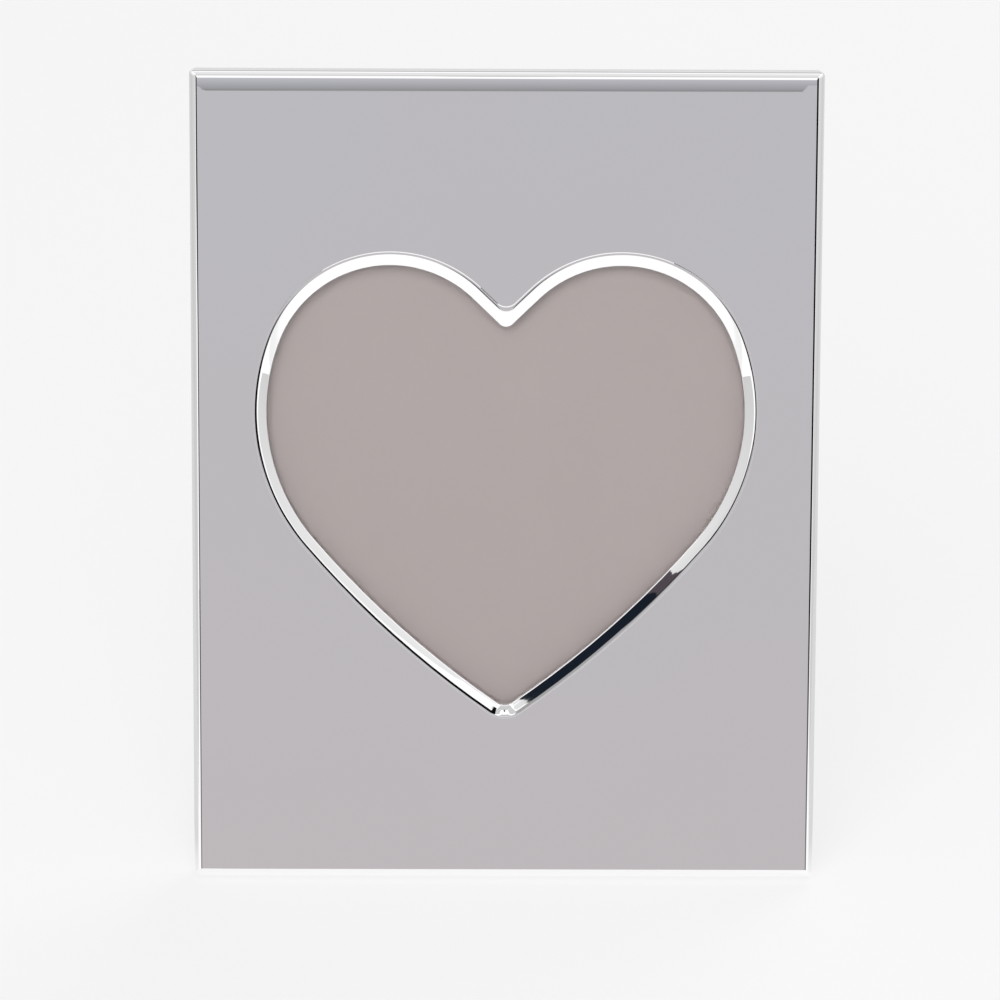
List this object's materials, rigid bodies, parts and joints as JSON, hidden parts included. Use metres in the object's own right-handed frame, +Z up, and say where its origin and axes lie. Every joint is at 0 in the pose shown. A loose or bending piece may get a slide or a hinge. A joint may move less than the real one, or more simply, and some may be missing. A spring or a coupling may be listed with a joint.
{
  "type": "photo frame",
  "caption": "Free-standing photo frame: bright metal plate with rolled edges, heart shaped aperture with a raised border, flocked back with hinged strut and turn-buttons.",
  "frame": {"origin": "centre of the whole frame's footprint on the table, with the strut open", "axes": "+Z up, front plate faces -Y and leans back towards +Y, +X to the viewer's right"},
  "size_m": [0.154, 0.0608, 0.1951],
  "materials": {
    "plate_metal": "mirror polished plating",
    "rim_metal": "mirror polished plating",
    "glass": "clear, polished",
    "insert_paper": "matt printed paper, bare",
    "grey_card": "uncoated grey board",
    "black_batten": "black stained batten",
    "hardboard": "hardboard with raw edges",
    "velvet": "black flock",
    "hinge_steel": "zinc plated sheet",
    "pin_steel": "drawn wire",
    "rivet_steel": "domed, plated",
    "button_steel": "stamped, nickel plated",
    "screw_steel": "plated screw"
  },
  "bodies": {
    "frame": {"front_plate": "plate_metal", "heart_rim": "rim_metal", "glass_pane": "glass", "photo_insert": "insert_paper", "backing_card": "grey_card", "back_board": "hardboard", "back_velvet": "velvet", "liner_top": "black_batten", "liner_bottom": "black_batten", "liner_left": "black_batten", "liner_right": "black_batten", "hinge_plate": "hinge_steel", "hinge_pin": "pin_steel", "board_rivets": "rivet_steel", "turn_button_screws": "screw_steel"},
    "strut": {"strut_board": "hardboard", "strut_velvet": "velvet", "hinge_leaf": "hinge_steel", "strut_rivets": "rivet_steel"},
    "turn_button_1": {"turn_button_1": "button_steel"},
    "turn_button_2": {"turn_button_2": "button_steel"},
    "turn_button_3": {"turn_button_3": "button_steel"},
    "turn_button_4": {"turn_button_4": "button_steel"}
  },
  "joints": [
    {"name": "strut_hinge", "type": "hinge", "parent": "frame", "child": "strut", "pos_m": [0, 0.00908, 0.11378], "axis": [1, 0, 0], "range_deg": [-25, 0]},
    {"name": "turn_button_1_pivot", "type": "hinge", "parent": "frame", "child": "turn_button_1", "pos_m": [-0.07, 0.01619, 0.14708], "axis": [0, 0.9659, -0.2588], "range_deg": [-90, 90]},
    {"name": "turn_button_2_pivot", "type": "hinge", "parent": "frame", "child": "turn_button_2", "pos_m": [0.07, 0.01619, 0.14708], "axis": [0, 0.9659, -0.2588], "range_deg": [-90, 90]},
    {"name": "turn_button_3_pivot", "type": "hinge", "parent": "frame", "child": "turn_button_3", "pos_m": [-0.07, -0.01073, 0.04662], "axis": [0, 0.9659, -0.2588], "range_deg": [-90, 90]},
    {"name": "turn_button_4_pivot", "type": "hinge", "parent": "frame", "child": "turn_button_4", "pos_m": [0.07, -0.01073, 0.04662], "axis": [0, 0.9659, -0.2588], "range_deg": [-90, 90]}
  ]
}
